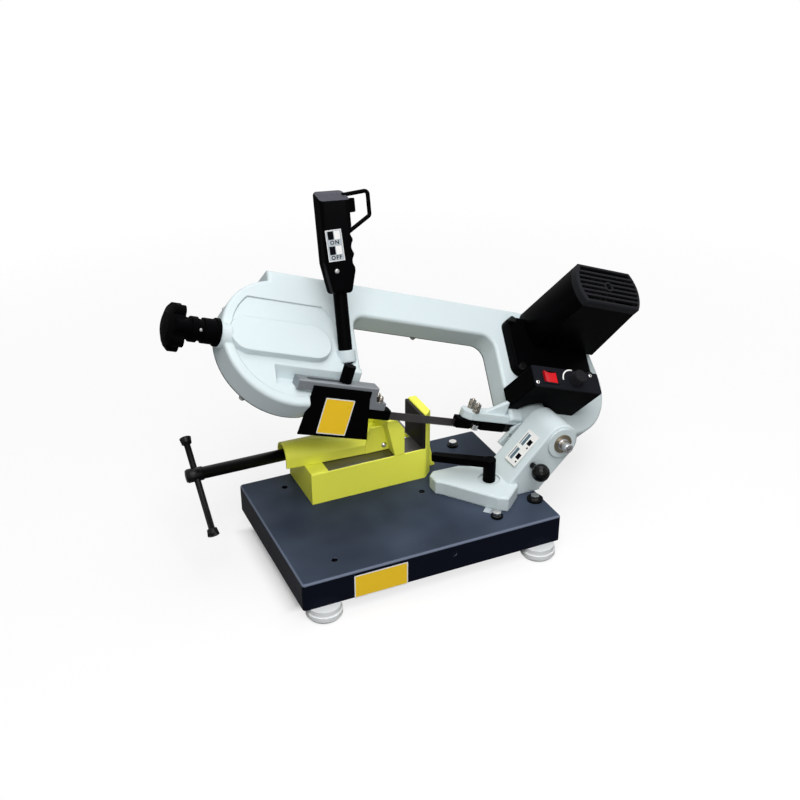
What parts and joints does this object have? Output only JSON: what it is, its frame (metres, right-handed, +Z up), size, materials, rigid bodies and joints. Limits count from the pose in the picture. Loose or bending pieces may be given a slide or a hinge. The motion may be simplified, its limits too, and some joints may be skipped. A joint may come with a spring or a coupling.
{
  "type": "metal cutting band saw",
  "caption": "Bench band saw for metal: a tilted bow with an endless blade pivots over a screw vise on a footed tray, with a mitre swivel, geared motor and pistol handle.",
  "frame": {"origin": "on the floor, under the middle of the outer box of the whole machine at rest", "axes": "+X to the operator's right along the base's front edge, +Y to the back, +Z up"},
  "size_m": [0.7425, 0.3508, 0.5011],
  "materials": {
    "navy_paint": "satin",
    "foot_rubber": "matte",
    "zinc_bolts": "satin",
    "vise_paint": "painted",
    "dark_steel": "ground",
    "screw_black": "blackened",
    "white_casting": "painted",
    "cover_black": "satin",
    "black_plastic": "moulded",
    "black_housing": "painted",
    "red_switch": "gloss",
    "bare_aluminium": "machined",
    "bush_bronze": "machined",
    "bare_steel": "ground",
    "wheel_iron": "machined",
    "fan_plastic": "moulded"
  },
  "bodies": {
    "base": {"base_tray": "navy_paint", "rubber_feet": "foot_rubber", "foot_screws": "zinc_bolts", "vise_bed": "vise_paint", "vise_bolts": "zinc_bolts", "fixed_jaw": "vise_paint", "fixed_jaw_plate": "dark_steel", "vise_nut": "bush_bronze", "swivel_pivot_bolt": "zinc_bolts", "stop_bolts": "zinc_bolts"},
    "vise_slide": {"moving_jaw": "vise_paint", "moving_jaw_plate": "dark_steel"},
    "vise_spindle": {"vise_screw": "screw_black", "tommy_bar": "screw_black"},
    "swivel": {"swivel_arm": "white_casting", "lock_stud": "zinc_bolts", "pivot_bushes": "bush_bronze"},
    "swivel_lock": {"lock_lever": "black_plastic"},
    "bow_lock": {"ball_screw": "zinc_bolts", "ball_knob": "black_plastic"},
    "bow": {"pivot_shaft": "bare_steel", "bow_casting": "white_casting", "wheel_cover": "cover_black", "cover_knobs": "zinc_bolts", "blade": "dark_steel", "gear_cover": "black_housing", "gear_cover_bolts": "zinc_bolts", "motor_housing": "black_housing", "fan_cover": "black_plastic", "control_box": "black_plastic", "control_panel": "black_plastic", "handle_tube": "screw_black", "grip_front": "black_plastic", "grip_back": "black_plastic", "trigger_guard": "zinc_bolts", "right_guide_block": "black_housing", "right_guide_bolts": "zinc_bolts", "drive_bearings": "bare_steel", "tension_sleeve": "black_plastic"},
    "tension_carriage": {"tension_slide": "bare_steel"},
    "tension_spindle": {"tension_screw": "screw_black", "tension_knob": "black_plastic"},
    "idler": {"idler_wheel": "wheel_iron", "idler_bearings": "bare_steel"},
    "drive": {"drive_wheel": "wheel_iron", "drive_shaft": "bare_steel", "drive_gear": "bare_steel"},
    "rotor": {"motor_rotor": "bare_steel", "cooling_fan": "fan_plastic"},
    "front_roller": {"guide_roller_front": "bare_steel"},
    "back_roller": {"guide_roller_back": "bare_steel"},
    "left_guide": {"guide_bar": "bare_aluminium", "left_guide_block": "black_housing", "left_guide_bolts": "zinc_bolts", "front_guard": "cover_black"},
    "guide_clamp": {"guide_clamp": "black_plastic"},
    "trigger": {"trigger": "black_plastic"},
    "rocker": {"rocker_switch": "red_switch"},
    "speed_dial": {"speed_knob": "black_plastic"}
  },
  "joints": [
    {"name": "jaw_slide", "type": "slide", "parent": "base", "child": "vise_slide", "axis": [1, 0, 0], "range_m": [-0.044, 0.028]},
    {"name": "vise_screw_turn", "type": "hinge", "parent": "vise_slide", "child": "vise_spindle", "pos_m": [-0.3561, 0.0671, 0.128], "axis": [1, 0, 0], "range_deg": [-3960.01, 2520.01]},
    {"name": "mitre_swivel", "type": "hinge", "parent": "base", "child": "swivel", "pos_m": [0.0139, -0.0199, 0.062], "axis": [0, 0, 1], "range_deg": [0, 45]},
    {"name": "swivel_lock_turn", "type": "hinge", "parent": "swivel", "child": "swivel_lock", "pos_m": [0.0689, -0.0559, 0.084], "axis": [0, 0, 1], "range_deg": [0, 60]},
    {"name": "bow_lock_turn", "type": "hinge", "parent": "swivel", "child": "bow_lock", "pos_m": [0.1259, -0.0839, 0.108], "axis": [0, 1, 0], "range_deg": [-90, 90]},
    {"name": "bow_pivot", "type": "hinge", "parent": "swivel", "child": "bow", "pos_m": [0.1739, -0.0839, 0.135], "axis": [0, 1, 0], "range_deg": [-16.56, 25]},
    {"name": "drive_spin", "type": "hinge", "parent": "bow", "child": "drive", "pos_m": [0.23738, 0.07712, 0.14255], "axis": [0.2551, -0.6088, 0.7512], "continuous": true},
    {"name": "rotor_spin", "type": "hinge", "parent": "bow", "child": "rotor", "pos_m": [0.27704, 0.11063, 0.2148], "axis": [0.2551, -0.6088, 0.7512], "continuous": true},
    {"name": "tension_screw_turn", "type": "hinge", "parent": "bow", "child": "tension_spindle", "pos_m": [-0.33555, 0.06221, 0.35767], "axis": [0.9469, 0, -0.3216], "range_deg": [-0.01, 720.01]},
    {"name": "tension_travel", "type": "slide", "parent": "bow", "child": "tension_carriage", "axis": [0.9469, 0, -0.3216], "range_m": [0, 0.004]},
    {"name": "idler_spin", "type": "hinge", "parent": "tension_carriage", "child": "idler", "pos_m": [-0.19977, 0.07712, 0.29103], "axis": [0.2551, -0.6088, 0.7512], "continuous": true},
    {"name": "front_roller_spin", "type": "hinge", "parent": "bow", "child": "front_roller", "pos_m": [0.07135, 0.00172, 0.13878], "axis": [0.3216, 0, 0.9469], "continuous": true},
    {"name": "back_roller_spin", "type": "hinge", "parent": "bow", "child": "back_roller", "pos_m": [0.07135, 0.01448, 0.13878], "axis": [0.3216, 0, 0.9469], "continuous": true},
    {"name": "guide_travel", "type": "slide", "parent": "bow", "child": "left_guide", "axis": [0.9469, 0, -0.3216], "range_m": [0, 0.055]},
    {"name": "guide_clamp_turn", "type": "hinge", "parent": "bow", "child": "guide_clamp", "pos_m": [-0.13771, 0.0061, 0.24675], "axis": [0.3216, 0, 0.9469], "range_deg": [0, 180]},
    {"name": "trigger_press", "type": "slide", "parent": "bow", "child": "trigger", "axis": [-0.9982, 0.0203, 0.0557], "range_m": [0, 0.005], "stiffness_N_per_m": 400},
    {"name": "rocker_tilt", "type": "hinge", "parent": "bow", "child": "rocker", "pos_m": [0.18204, -0.02321, 0.21183], "axis": [0.1958, 0.7934, 0.5764], "range_deg": [-14, 0]},
    {"name": "speed_dial_turn", "type": "hinge", "parent": "bow", "child": "speed_dial", "pos_m": [0.22826, -0.02504, 0.19864], "axis": [0.2551, -0.6088, 0.7512], "range_deg": [0, 270]}
  ],
  "couplings": [
    {"joint": "vise_screw_turn", "follows": "jaw_slide", "rad_per_m": 1570.8},
    {"joint": "rotor_spin", "follows": "drive_spin", "ratio": -6},
    {"joint": "idler_spin", "follows": "drive_spin", "ratio": 1},
    {"joint": "front_roller_spin", "follows": "drive_spin", "ratio": -14.5},
    {"joint": "back_roller_spin", "follows": "drive_spin", "ratio": 14.5},
    {"joint": "tension_screw_turn", "follows": "tension_travel", "rad_per_m": 3141.6}
  ]
}
